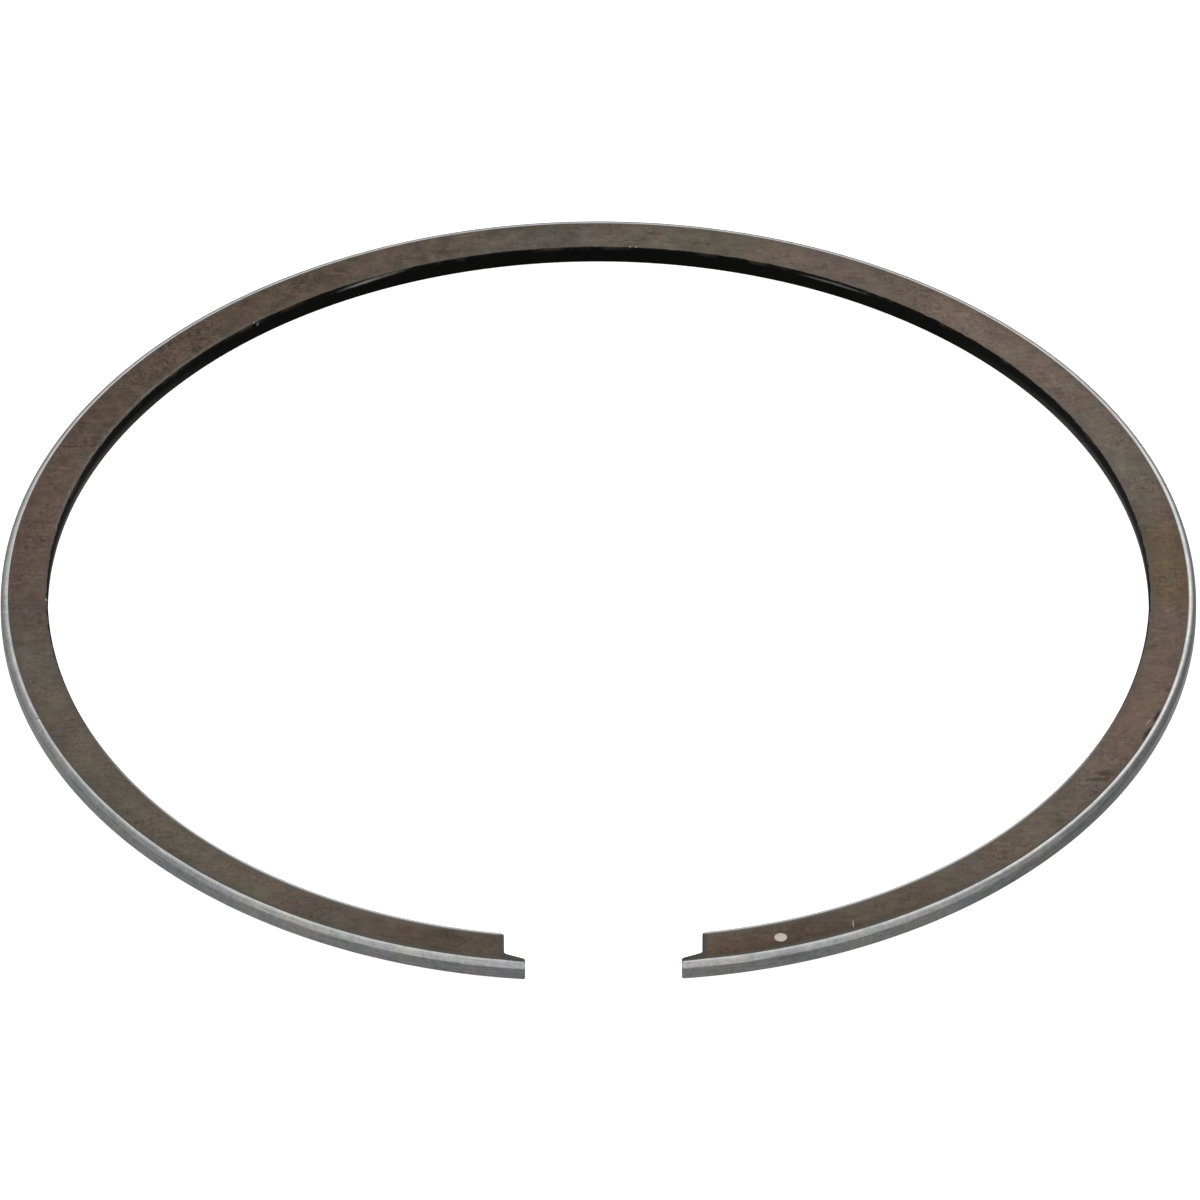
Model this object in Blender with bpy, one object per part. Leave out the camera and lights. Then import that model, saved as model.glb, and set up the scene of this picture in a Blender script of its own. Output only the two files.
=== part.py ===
"""Piston ring of a two-stroke engine, lying flat in its free, sprung-open state.

One piece of spring steel: a rectangular section with a well-rounded upper running
edge, open at the front, with both tips relieved on the inside for the pin that
locates the ring in its groove. The origin is the centre of the underside, +Z points
out of the marked upper side, and the gap faces -Y.
"""
import math

import bmesh
import bpy
from mathutils import Matrix, Vector

# Ring and section, in metres
BORE_DIAMETER = 0.072
RADIAL_WALL = 0.0030
HEIGHT = 0.0012
FREE_GAP = 0.0097
FITTED_GAP = 0.00025
UPPER_RUNNING_RADIUS = 0.00048
LOWER_RUNNING_RADIUS = 0.00020
INNER_EDGE_BREAK = 0.00006

# Pin notch in each tip; the wall left outside it is thinnest at the very tip
NOTCH_LENGTH = 0.0013
TONGUE_TIP_WALL = 0.00077
TONGUE_ROOT_WALL = 0.00130
NOTCH_FILLET = 0.00030
TIP_GRINDING = 0.00003

# Round dot on the upper side, near the right-hand tip
MARK_DIAMETER = 0.0008
MARK_DEPTH = 0.00004
MARK_FROM_TIP = 0.0061
MARK_FROM_RUNNING_FACE = 0.00145

# Facets and working clearances
RING_STEPS = 192
UPPER_ARC_STEPS = 6
LOWER_ARC_STEPS = 3
FILLET_STEPS = 6
MARK_SIDES = 20
CUTTER_OVERRUN = 0.0005
WELD_DISTANCE = 1e-7
SHARP_ANGLE = math.radians(35)

STEEL_COLOUR = (0.098, 0.076, 0.058, 1.0)
STEEL_ROUGHNESS = 0.55
STEEL_METALLIC = 0.6


class Station:
    """A place on the ring's middle line, with the outward and forward directions there."""

    def __init__(self, point, heading):
        self.point = point
        self.outward = Vector((math.sin(heading), math.cos(heading)))
        self.forward = Vector((math.cos(heading), -math.sin(heading)))

    def offset(self, outward):
        return self.point + self.outward * outward


def clear_scene():
    for old in list(bpy.data.objects):
        bpy.data.objects.remove(old, do_unlink=True)


def new_collection(name):
    collection = bpy.data.collections.new(name)
    bpy.context.scene.collection.children.link(collection)
    return collection


def ring_steel():
    material = bpy.data.materials.new("coated_spring_steel")
    material.use_nodes = True
    shader = material.node_tree.nodes["Principled BSDF"]
    shader.inputs["Base Color"].default_value = STEEL_COLOUR
    shader.inputs["Roughness"].default_value = STEEL_ROUGHNESS
    shader.inputs["Metallic"].default_value = STEEL_METALLIC
    return material


def free_line(springing):
    """Middle line of the unloaded ring, clockwise from the left tip to the right.

    Fitted in its bore the line is a circle, and an even wall pressure bends it by a
    moment in proportion to 1 + cos(angle from the back). Taking that bending away
    opens the ring: each heading falls short by springing * (angle + sin(angle)).
    """
    middle_radius = (BORE_DIAMETER - RADIAL_WALL) / 2
    half_turn = math.pi - FITTED_GAP / BORE_DIAMETER
    step = 2 * half_turn / RING_STEPS

    def heading(angle):
        return angle - springing * (angle + math.sin(angle))

    point = Vector((0.0, 0.0))
    stations = [Station(point, heading(-half_turn))]
    for index in range(RING_STEPS):
        chord = heading(-half_turn + (index + 0.5) * step)
        point = point + Vector((math.cos(chord), -math.sin(chord))) * middle_radius * step
        stations.append(Station(point, heading(-half_turn + (index + 1) * step)))
    return stations


def opening(stations):
    """Distance between the outer corners of the two tips."""
    half_wall = RADIAL_WALL / 2
    return (stations[-1].offset(half_wall) - stations[0].offset(half_wall)).length


def ring_stations():
    """Middle line sprung open to the free gap, centred by the box round its outline."""
    wanted = FREE_GAP - 2 * TIP_GRINDING - FITTED_GAP
    springing = wanted / (1.5 * math.pi * (BORE_DIAMETER - RADIAL_WALL))
    for _ in range(8):
        springing *= wanted / (opening(free_line(springing)) - FITTED_GAP)
    stations = free_line(springing)
    outline = [station.offset(RADIAL_WALL / 2) for station in stations]
    across = [point.x for point in outline]
    along = [point.y for point in outline]
    centre = Vector(((min(across) + max(across)) / 2, (min(along) + max(along)) / 2))
    for station in stations:
        station.point = station.point - centre
    return stations


def arc(centre, radius, start, end, steps):
    """Points of an arc between two angles in degrees, both ends included."""
    points = []
    for index in range(steps + 1):
        angle = math.radians(start + (end - start) * index / steps)
        points.append((centre[0] + radius * math.cos(angle), centre[1] + radius * math.sin(angle)))
    return points


def section_outline():
    """Ring section, with +X outward and +Y up, from the inner lower edge round."""
    outer = RADIAL_WALL / 2
    inner = -outer
    upper = UPPER_RUNNING_RADIUS
    lower = LOWER_RUNNING_RADIUS
    points = [(inner, INNER_EDGE_BREAK), (inner + INNER_EDGE_BREAK, 0.0)]
    points += arc((outer - lower, lower), lower, -90, 0, LOWER_ARC_STEPS)
    points += arc((outer - upper, HEIGHT - upper), upper, 0, 90, UPPER_ARC_STEPS)
    points += [(inner + INNER_EDGE_BREAK, HEIGHT), (inner, HEIGHT - INNER_EDGE_BREAK)]
    return points


def poly_curve(name, points, dimensions, collection, cyclic):
    curve = bpy.data.curves.new(name, "CURVE")
    curve.dimensions = dimensions
    spline = curve.splines.new("POLY")
    spline.points.add(len(points) - 1)
    for spline_point, point in zip(spline.points, points):
        spline_point.co = (point[0], point[1], 0.0, 1.0)
    spline.use_cyclic_u = cyclic
    curve_object = bpy.data.objects.new(name, curve)
    collection.objects.link(curve_object)
    return curve_object


def to_mesh_object(source, name, collection):
    """Turn a curve object into a welded mesh object and remove the curve."""
    bpy.context.view_layer.update()
    depsgraph = bpy.context.evaluated_depsgraph_get()
    mesh = bpy.data.meshes.new_from_object(source.evaluated_get(depsgraph))
    bm = bmesh.new()
    bm.from_mesh(mesh)
    bmesh.ops.remove_doubles(bm, verts=bm.verts, dist=WELD_DISTANCE)
    bmesh.ops.recalc_face_normals(bm, faces=bm.faces)
    bm.to_mesh(mesh)
    bm.free()
    mesh.name = name
    mesh_object = bpy.data.objects.new(name, mesh)
    mesh_object.matrix_world = source.matrix_world
    collection.objects.link(mesh_object)
    bpy.data.objects.remove(source, do_unlink=True)
    return mesh_object


def mark_as_guide(guide):
    guide.hide_render = True
    guide.display_type = "WIRE"


def swept_ring(stations, parts, guides):
    """Section carried along the free line, closed at both tips."""
    section = poly_curve("ring_section", section_outline(), "2D", guides, cyclic=True)
    section.data.fill_mode = "NONE"
    mark_as_guide(section)
    # Run anticlockwise, so that the section's +X points away from the centre
    anticlockwise = [station.point for station in reversed(stations)]
    line = poly_curve("free_line", anticlockwise, "3D", guides, cyclic=False)
    line.data.twist_mode = "Z_UP"
    line.data.bevel_mode = "OBJECT"
    line.data.bevel_object = section
    line.data.use_fill_caps = True
    return to_mesh_object(line, "piston_ring", parts)


def fillet(corner, first_side, second_side, radius, steps):
    """Arc that touches both sides of a corner, from the first side to the second."""
    half_corner = first_side.angle(second_side) / 2
    reach = radius / math.tan(half_corner)
    centre = corner + (first_side + second_side).normalized() * (radius / math.sin(half_corner))
    first = corner + first_side * reach - centre
    second = corner + second_side * reach - centre
    start = math.degrees(math.atan2(first.y, first.x))
    turn = math.degrees(math.atan2(first.cross(second), first.dot(second)))
    return arc(centre, radius, start, start + turn, steps)


def tip_outline(tip_corner):
    """The gap and both pin notches seen from above, from a tip's outer corner at +X."""
    half_gap = FREE_GAP / 2
    front = tip_corner.y - CUTTER_OVERRUN
    back = tip_corner.y + 2 * RADIAL_WALL
    tongue_tip = Vector((half_gap, tip_corner.y + TONGUE_TIP_WALL))
    root = Vector((half_gap + NOTCH_LENGTH, tip_corner.y + TONGUE_ROOT_WALL))
    along_tongue = (tongue_tip - root).normalized()
    into_ring = Vector((0.0, 1.0))
    right = [(half_gap, front), tuple(tongue_tip)]
    right += fillet(root, along_tongue, into_ring, NOTCH_FILLET, FILLET_STEPS)
    right += [(root.x, back)]
    left = [(-x, y) for x, y in reversed(right)]
    return right + left


def tip_cutter(stations, cutters):
    """Flat cutter that grinds both tips square to the gap and opens their notches."""
    tip_corner = stations[-1].offset(RADIAL_WALL / 2)
    outline = poly_curve("gap_and_notches", tip_outline(tip_corner), "2D", cutters, cyclic=True)
    outline.data.fill_mode = "BOTH"
    outline.data.extrude = HEIGHT / 2 + CUTTER_OVERRUN
    outline.location.z = HEIGHT / 2
    cutter = to_mesh_object(outline, "gap_and_notches", cutters)
    mark_as_guide(cutter)
    return cutter


def place_from_tip(stations, distance, from_running_face):
    """Point of the upper side, at a distance back along the ring from the right tip."""
    travelled = 0.0
    for here, ahead in zip(reversed(stations[:-1]), reversed(stations)):
        step = (ahead.point - here.point).length
        if travelled + step >= distance:
            break
        travelled += step
    middle = ahead.point.lerp(here.point, (distance - travelled) / step)
    return middle + here.outward * (RADIAL_WALL / 2 - from_running_face)


def mark_cutter(stations, cutters):
    """Shallow round drill that leaves the dot in the upper side."""
    place = place_from_tip(stations, MARK_FROM_TIP, MARK_FROM_RUNNING_FACE)
    bm = bmesh.new()
    bmesh.ops.create_cone(bm, cap_ends=True, segments=MARK_SIDES, radius1=MARK_DIAMETER / 2,
                          radius2=MARK_DIAMETER / 2, depth=2 * MARK_DEPTH)
    mesh = bpy.data.meshes.new("upper_side_dot")
    bm.to_mesh(mesh)
    bm.free()
    cutter = bpy.data.objects.new("upper_side_dot", mesh)
    cutter.location = (place.x, place.y, HEIGHT)
    cutters.objects.link(cutter)
    mark_as_guide(cutter)
    return cutter


def cut(target, cutter):
    boolean = target.modifiers.new(cutter.name, "BOOLEAN")
    boolean.operation = "DIFFERENCE"
    boolean.solver = "EXACT"
    boolean.object = cutter


def build_piston_ring():
    clear_scene()
    parts = new_collection("piston_ring")
    guides = new_collection("cutters_and_guides")
    stations = ring_stations()
    ring = swept_ring(stations, parts, guides)
    ring.data.materials.append(ring_steel())
    ring.data.shade_smooth()
    ring.data.set_sharp_from_angle(angle=SHARP_ANGLE)
    cut(ring, tip_cutter(stations, guides))
    cut(ring, mark_cutter(stations, guides))


build_piston_ring()
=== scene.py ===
"""Piston ring of a two-stroke engine, dressed and lit as a studio picture.

The ring is one piece of spring steel, sprung open, lying flat on a pale floor. Its
body follows the rule of a ring that is a true circle once it is closed in its bore.
Metres, +Z up, the gap towards -Y. Every pattern works in millimetres.
"""
import math
from collections import namedtuple

import bmesh
import bpy
from bpy.props import FloatProperty, FloatVectorProperty, IntProperty, PointerProperty
from mathutils import Matrix, Vector


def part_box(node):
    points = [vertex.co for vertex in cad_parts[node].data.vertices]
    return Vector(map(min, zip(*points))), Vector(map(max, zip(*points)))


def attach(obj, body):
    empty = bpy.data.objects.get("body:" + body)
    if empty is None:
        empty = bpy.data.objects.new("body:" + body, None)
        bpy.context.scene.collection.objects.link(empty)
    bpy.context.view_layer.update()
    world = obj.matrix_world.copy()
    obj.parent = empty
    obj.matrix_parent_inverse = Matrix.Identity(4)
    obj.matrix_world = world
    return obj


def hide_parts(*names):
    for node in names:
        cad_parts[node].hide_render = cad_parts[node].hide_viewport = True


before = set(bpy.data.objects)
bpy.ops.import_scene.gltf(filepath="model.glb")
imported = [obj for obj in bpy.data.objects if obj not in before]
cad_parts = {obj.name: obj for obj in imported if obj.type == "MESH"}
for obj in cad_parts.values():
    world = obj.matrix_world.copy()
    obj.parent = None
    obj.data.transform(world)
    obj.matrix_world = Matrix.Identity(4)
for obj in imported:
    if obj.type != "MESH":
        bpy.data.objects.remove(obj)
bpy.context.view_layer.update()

bl_info = {
    "name": "Piston Ring",
    "version": (1, 0, 0),
    "blender": (4, 5, 0),
    "location": "3D View > Sidebar > Piston Ring",
    "description": "A sprung-open piston ring with its coating, wear and studio stage",
    "category": "Add Mesh",
}

RING_LOW, RING_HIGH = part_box("piston_ring")
RING_MAP = "ring_map"
PER_MM = 1000.0
PHOTO_SENSOR = 36.0

# Numbers that the faces carry for their finish
FLAT_SIDE = 1
RUNNING_SIDE = 2
INNER_SIDE = 3
TIP_SIDE = 4
DOT_SIDE = 5

# Facets round a tip's corner, points round the section's small edges and round its large one
CORNER_STEPS = 8
EDGE_POINTS = 6
LARGE_EDGE_POINTS = 14

CUTTER_OVERRUN = 0.0005
SHARP_ANGLE = math.radians(35)
FLOOR_DROP = 0.00002
WHITE = (1.0, 1.0, 1.0)
WARM_WHITE = (1.0, 0.992, 0.975)
ORIGIN = (0.0, 0.0, 0.0)
SOCKET_TYPES = {float: "NodeSocketFloat", int: "NodeSocketInt", tuple: "NodeSocketVector"}

# Y, in millimetres, where the look of the ring's front sets in and where it is reached
FRONT_START = -20.0
FRONT_END = -33.0


def length_property(name, description, default, lowest=0.0):
    return FloatProperty(
        name=name, description=description, default=default, min=lowest, unit="LENGTH")


def angle_property(name, description, default):
    return FloatProperty(name=name, description=description, default=default, subtype="ANGLE")


def colour_property(name, description, default):
    return FloatVectorProperty(
        name=name, description=description, default=default, subtype="COLOR", min=0.0, max=1.0)


class RingSizes(bpy.types.PropertyGroup):
    bore_diameter: length_property(
        "Bore Diameter", "Cylinder bore that closes the ring to a circle", 0.072, 0.03)
    radial_wall: length_property(
        "Radial Wall", "Width of the section from the bore side to the running face", 0.0030, 0.001)
    height: length_property(
        "Height", "Thickness of the ring between its flat sides", RING_HIGH.z - RING_LOW.z, 0.0005)
    free_gap: length_property(
        "Free Gap", "Gap between the tips of the unloaded ring", 0.0097, 0.001)
    fitted_gap: length_property(
        "Fitted Gap", "Gap left when the ring is closed in its bore", 0.00025, 0.0)
    upper_running_radius: length_property(
        "Upper Running Radius", "Rounding between the upper side and the running face", 0.00048, 0.00005)
    lower_running_radius: length_property(
        "Lower Running Radius", "Rounding between the running face and the underside", 0.00020, 0.00002)
    inner_edge_radius: length_property(
        "Inner Edge Radius", "Rounding of both bore-side edges", 0.00006, 0.00001)
    notch_length: length_property(
        "Notch Length", "How far each pin notch reaches back from its tip", 0.0013, 0.0003)
    tongue_tip_wall: length_property(
        "Tongue Tip Wall", "Wall left outside the notch at the very tip", 0.00077, 0.0002)
    tongue_root_wall: length_property(
        "Tongue Root Wall", "Wall left outside the notch at its root", 0.00130, 0.0002)
    notch_fillet: length_property(
        "Notch Fillet", "Fillet at the root of each notch", 0.00030, 0.00002)
    tip_corner_radius: length_property(
        "Tip Corner Radius", "Rounding of the tips' upright corners", 0.00017, 0.00001)
    tip_edge_radius: length_property(
        "Tip Edge Radius", "Rounding of the tips' edges along both flat sides", 0.00013, 0.00001)
    tip_grinding: length_property(
        "Tip Grinding", "Length ground off each tip to square it", 0.00003, 0.0)
    dot_diameter: length_property(
        "Dot Diameter", "Round etched dot that marks the upper side", 0.0008, 0.0001)
    dot_depth: length_property(
        "Dot Depth", "Depth of the etched dot", 0.00004, 0.000005)
    dot_from_tip: length_property(
        "Dot From Tip", "Distance of the dot from the right tip, along the ring", 0.0061, 0.002)
    dot_from_running_face: length_property(
        "Dot From Running Face", "Distance of the dot from the running face", 0.00145, 0.0005)
    stations: IntProperty(
        name="Stations", description="Sections along the ring", default=640, min=64)


class RingFinish(bpy.types.PropertyGroup):
    olive_coat: colour_property(
        "Olive Coat", "Greener patches of the phosphate coat", (0.124, 0.104, 0.076))
    umber_coat: colour_property(
        "Umber Coat", "Redder patches of the phosphate coat", (0.134, 0.087, 0.067))
    mauve_coat: colour_property(
        "Mauve Coat", "Thinner, purplish coat at the back of the ring", (0.150, 0.108, 0.088))
    gold_coat: colour_property(
        "Gold Coat", "Straw-tinted patch of the coat on the right side", (0.106, 0.076, 0.043))
    grey_coat: colour_property(
        "Grey Coat", "Greyer patches and flecks of the phosphate coat", (0.088, 0.079, 0.071))
    dark_coat: colour_property(
        "Dark Coat", "Thicker, darker coat near the tips", (0.088, 0.064, 0.047))
    brown_coat: colour_property(
        "Brown Coat", "Rusty brown coat at the right tip and at the back on the left", (0.096, 0.062, 0.043))
    stain: colour_property(
        "Stain", "Dark smears and blotches on the coat", (0.046, 0.034, 0.021))
    pale_coat: colour_property(
        "Pale Coat", "Coat rubbed thin along the edges of the flat sides", (0.150, 0.138, 0.120))
    slate_coat: colour_property(
        "Slate Coat", "Bluish coat on the tongues, the tips and the notches", (0.069, 0.071, 0.069))
    ground_steel: colour_property(
        "Ground Steel", "Ground running face, rounded edges and rubbed inner edge", (0.42, 0.42, 0.42))
    warm_steel: colour_property(
        "Warm Steel", "Faintly tanned patches of the ground steel", (0.43, 0.42, 0.405))
    cool_steel: colour_property(
        "Cool Steel", "Faintly blue-green patches of the ground steel", (0.400, 0.422, 0.425))
    # Near-black of the bore side: its own dark coat, deepened as painted shade. It also gives the soot marks
    # and the black inner edge at the back
    bore_black: colour_property(
        "Bore-side Black", "Blackened bore side of the ring", (0.0042, 0.0040, 0.0038))
    # Colour of the painted reflection low on the bore side and of its painted glints
    bore_painted_sheen: colour_property(
        "Bore-side Painted Sheen", "Grey film low on the bore side, and its pale streaks", (0.300, 0.293, 0.280))
    etched_steel: colour_property(
        "Etched Steel", "Pale steel laid bare in the dot, chips and scratches", (0.56, 0.51, 0.46))
    patch_size: FloatProperty(
        name="Patch Size", description="Size of the coat's colour patches, in millimetres",
        default=4.5, min=0.5)


class StageSettings(bpy.types.PropertyGroup):
    elevation: angle_property(
        "Elevation", "Height of the camera above the floor, as an angle", math.radians(39.843))
    azimuth: angle_property(
        "Azimuth", "Turn of the camera round the ring, to its left", 0.00957)
    distance: length_property(
        "Distance", "Distance from the camera to the ring's centre", 1.460255)
    lens: FloatProperty(
        name="Lens", description="Focal length of the camera, in millimetres",
        default=693.19, min=10.0)
    roll: angle_property(
        "Roll", "Turn of the picture about the view axis", math.radians(-0.0661))
    aim_yaw: angle_property(
        "Aim Yaw", "Sideways aim of the camera away from the ring's centre", math.radians(0.0042))
    aim_pitch: angle_property(
        "Aim Pitch", "Upright aim of the camera away from the ring's centre", math.radians(0.0019))
    floor_size: length_property(
        "Floor Size", "Side of the square floor", 24.0)
    floor_tone: FloatProperty(
        name="Floor Tone", description="Reflectance of the pale floor", default=0.9, min=0.0, max=1.0)
    floor_glow: FloatProperty(
        name="Floor Glow", description="Light that the backlit floor adds", default=0.8, min=0.0)


class PistonRingSettings(bpy.types.PropertyGroup):
    sizes: PointerProperty(type=RingSizes)
    finish: PointerProperty(type=RingFinish)
    stage: PointerProperty(type=StageSettings)


# Colours that the marks' tones stand for
TONES = {
    "olive": "olive_coat", "umber": "umber_coat", "mauve": "mauve_coat", "gold": "gold_coat",
    "grey": "grey_coat", "dark": "dark_coat", "brown": "brown_coat", "pale": "pale_coat",
    "stain": "stain", "soot": "bore_black", "painted_glint": "bore_painted_sheen", "bare": "etched_steel",
}

# A mark's place is its distance along the middle line from the left tip and its offset
# outwards from that line, in millimetres. On the bore side the second is the height above
# the underside
Mark = namedtuple("Mark", "tone along across half_length half_width strength soft ragged turn",
                  defaults=(0.0,))

COAT_ZONES = (
    Mark("dark", 4.0, 0.0, 11.0, 6.0, 0.75, 1.0, 0.3),
    Mark("olive", 32.0, 0.0, 19.0, 8.0, 0.55, 0.9, 0.5),
    Mark("pale", 25.0, 0.0, 9.0, 8.0, 0.12, 1.0, 0.4),
    Mark("pale", 44.5, 0.3, 5.0, 3.0, 0.15, 0.8, 0.5),
    Mark("umber", 56.0, 0.0, 11.0, 9.0, 0.70, 0.8, 0.4),
    Mark("umber", 65.5, 0.0, 8.5, 6.0, 0.62, 0.45, 0.5),
    Mark("brown", 79.0, 0.0, 29.0, 9.0, 0.75, 0.8, 0.4),
    Mark("grey", 106.0, 0.0, 8.0, 8.0, 0.30, 1.0, 0.4),
    Mark("mauve", 137.0, 0.0, 21.0, 8.0, 0.80, 0.9, 0.4),
    Mark("olive", 151.0, 0.0, 7.0, 5.0, 0.60, 0.7, 0.4, 0.6),
    Mark("pale", 151.5, 0.0, 7.5, 5.0, 0.25, 0.7, 0.4, 0.6),
    Mark("gold", 163.0, 0.0, 6.3, 4.0, 0.95, 0.4, 0.5, -0.6),
    Mark("umber", 160.5, -0.6, 2.5, 1.4, 0.50, 0.9, 0.6, -0.5),
    Mark("umber", 175.0, 0.0, 11.0, 6.0, 0.75, 0.6, 0.4),
    Mark("dark", 194.0, 0.0, 9.0, 6.0, 0.22, 1.0, 0.3),
    Mark("dark", 210.0, 0.0, 19.0, 6.0, 0.88, 1.0, 0.3),
    Mark("brown", 212.0, 0.15, 7.5, 1.05, 0.90, 0.7, 0.4),
    Mark("stain", 206.5, 0.72, 11.0, 0.65, 0.42, 0.8, 0.4),
    Mark("stain", 8.5, -0.15, 8.0, 0.85, 0.15, 0.8, 0.4),
)
COAT_MARKS = (
    Mark("bare", 205.45, 0.40, 0.05, 0.50, 0.65, 0.7, 0.1, 0.36),
    Mark("stain", 183.85, 0.22, 0.34, 0.78, 0.80, 0.6, 0.4, -0.45),
    Mark("stain", 184.60, 0.08, 0.27, 0.85, 0.74, 0.6, 0.4, -0.60),
    Mark("stain", 184.2, 0.62, 0.60, 0.28, 0.60, 0.8, 0.5),
    Mark("stain", 174.9, 0.05, 0.12, 0.50, 0.40, 0.8, 0.5, -0.10),
    Mark("stain", 175.3, 0.00, 0.09, 0.55, 0.35, 0.8, 0.5, -0.20),
    Mark("stain", 174.8, 0.90, 0.36, 0.22, 0.70, 0.7, 0.5),
    Mark("soot", 177.5, 0.94, 0.80, 0.26, 0.72, 0.7, 0.5),
    Mark("soot", 179.2, 0.94, 0.95, 0.24, 0.70, 0.7, 0.5),
    Mark("bare", 178.2, 0.62, 0.42, 0.05, 0.50, 0.7, 0.1, 0.22),
    Mark("soot", 216.15, 0.75, 0.32, 0.30, 0.45, 0.8, 0.3),
    Mark("stain", 46.7, 0.0, 0.40, 3.0, 0.30, 0.9, 0.3, 0.05),
    Mark("stain", 123.6, -0.45, 0.06, 0.45, 0.60, 0.8, 0.2, -0.41),
    Mark("bare", 50.9, -1.40, 0.13, 0.08, 0.70, 0.6, 0.2),
    Mark("bare", 83.8, -1.38, 0.10, 0.09, 0.40, 0.6, 0.3, 0.3),
    Mark("bare", 110.7, -1.36, 0.07, 0.12, 0.45, 0.6, 0.2),
    Mark("bare", 111.1, -1.36, 0.07, 0.12, 0.45, 0.6, 0.2),
)
EDGE_MARKS = (
    Mark("bare", 39.35, 1.16, 0.10, 0.16, 0.60, 0.5, 0.1, 0.4),
    Mark("soot", 39.47, 1.14, 0.05, 0.14, 0.80, 0.5, 0.1, 0.4),
    Mark("olive", 210.0, 1.45, 1.60, 0.30, 0.30, 1.0, 0.6),
)
# Painted glints: pale streaks and a small spot near the top of the bore side at the back
PAINTED_BORE_GLINTS = (
    Mark("painted_glint", 92.8, 1.06, 3.3, 0.17, 0.50, 0.8, 0.3, -0.035),
    Mark("painted_glint", 92.3, 1.04, 1.7, 0.14, 0.80, 0.8, 0.3, -0.035),
    Mark("painted_glint", 124.9, 1.00, 3.2, 0.13, 0.48, 0.8, 0.3),
    Mark("painted_glint", 84.0, 1.06, 0.17, 0.18, 0.50, 0.6, 0.2, 0.5),
)


class Graph:
    """Adds nodes to a tree and joins their sockets."""

    def __init__(self, tree):
        self.tree = tree

    def feed(self, socket, value):
        if isinstance(value, bpy.types.NodeSocket):
            self.tree.links.new(value, socket)
        elif socket.type == "RGBA":
            socket.default_value = (*value[:3], 1.0)
        else:
            socket.default_value = value

    def node(self, kind, inputs=None, **settings):
        node = self.tree.nodes.new(kind)
        for name, value in settings.items():
            setattr(node, name, value)
        for name, value in (inputs or {}).items():
            self.feed(node.inputs[name], value)
        return node

    def made(self, kind, inputs=None, **settings):
        return self.node(kind, inputs, **settings).outputs[0]

    def math(self, operation, *values, clamp=False):
        return self.made(
            "ShaderNodeMath", dict(enumerate(values)), operation=operation, use_clamp=clamp)

    def plus(self, first, second):
        return self.math("ADD", first, second)

    def minus(self, first, second):
        return self.math("SUBTRACT", first, second)

    def times(self, product, *factors):
        for factor in factors:
            product = self.math("MULTIPLY", product, factor)
        return product

    def unsigned(self, value):
        return self.math("ABSOLUTE", value)

    def above(self, value, limit):
        return self.math("GREATER_THAN", value, limit)

    def vector(self, operation, first, second):
        return self.made("ShaderNodeVectorMath", {0: first, 1: second}, operation=operation)

    def scaled(self, vector, scale):
        return self.made("ShaderNodeVectorMath", {0: vector, "Scale": scale}, operation="SCALE")

    def parts(self, vector):
        return self.node("ShaderNodeSeparateXYZ", {"Vector": vector}).outputs

    def point(self, x, y, z=0.0):
        return self.made("ShaderNodeCombineXYZ", {"X": x, "Y": y, "Z": z})

    def ramp(self, value, start, end, low=0.0, high=1.0, smooth=True):
        return self.made("ShaderNodeMapRange", {
            "Value": value, "From Min": start, "From Max": end, "To Min": low, "To Max": high},
            interpolation_type="SMOOTHSTEP" if smooth else "LINEAR")

    def mix(self, factor, first, second):
        node = self.node("ShaderNodeMix", {0: factor, 6: first, 7: second}, data_type="RGBA")
        return node.outputs[2]

    def blend(self, factor, first, second):
        return self.made("ShaderNodeMix", {0: factor, 2: first, 3: second}, data_type="FLOAT")

    def noise(self, place, scale=1.0, detail=2.0, roughness=0.5, distortion=0.0):
        return self.made("ShaderNodeTexNoise", {
            "Vector": place, "Scale": scale, "Detail": detail, "Roughness": roughness,
            "Distortion": distortion})

    def group(self, tree, inputs):
        return self.node("ShaderNodeGroup", inputs, node_tree=tree).outputs


def new_tree(name, kind, inputs, outputs):
    """The graph of a node tree with named sockets, and its group input and output sockets.

    Each input comes with its default, or with its socket's type where it has none.
    """
    tree = bpy.data.node_groups.new(name, kind)
    for socket_name, default in inputs.items():
        has_default = not isinstance(default, str)
        socket_type = SOCKET_TYPES[type(default)] if has_default else default
        socket = tree.interface.new_socket(socket_name, in_out="INPUT", socket_type=socket_type)
        if has_default:
            socket.default_value = default
    for socket_name, socket_type in outputs.items():
        tree.interface.new_socket(socket_name, in_out="OUTPUT", socket_type=socket_type)
    graph = Graph(tree)
    return graph, graph.node("NodeGroupInput").outputs, graph.node("NodeGroupOutput").inputs


class Station:
    """A place on the ring's middle line, with the outward and forward directions there."""

    def __init__(self, point, heading):
        self.point = point
        self.outward = Vector((math.sin(heading), math.cos(heading)))
        self.forward = Vector((math.cos(heading), -math.sin(heading)))

    def offset(self, outward):
        return self.point + self.outward * outward


def free_line(sizes, springing):
    """Middle line of the unloaded ring, clockwise from the left tip to the right.

    In its bore the line is a circle, and an even wall pressure bends it by a moment in
    proportion to 1 + cos(angle from the back). Without that bending each heading falls
    short by springing * (angle + sin(angle)).
    """
    middle_radius = (sizes.bore_diameter - sizes.radial_wall) / 2
    half_turn = math.pi - sizes.fitted_gap / sizes.bore_diameter
    step = 2 * half_turn / sizes.stations

    def heading(angle):
        return angle - springing * (angle + math.sin(angle))

    point = Vector((0.0, 0.0))
    stations = [Station(point, heading(-half_turn))]
    for index in range(sizes.stations):
        chord = heading(-half_turn + (index + 0.5) * step)
        point = point + Vector((math.cos(chord), -math.sin(chord))) * middle_radius * step
        stations.append(Station(point, heading(-half_turn + (index + 1) * step)))
    return stations


def opening(sizes, stations):
    """Distance between the outer corners of the two tips."""
    half_wall = sizes.radial_wall / 2
    return (stations[-1].offset(half_wall) - stations[0].offset(half_wall)).length


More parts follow.
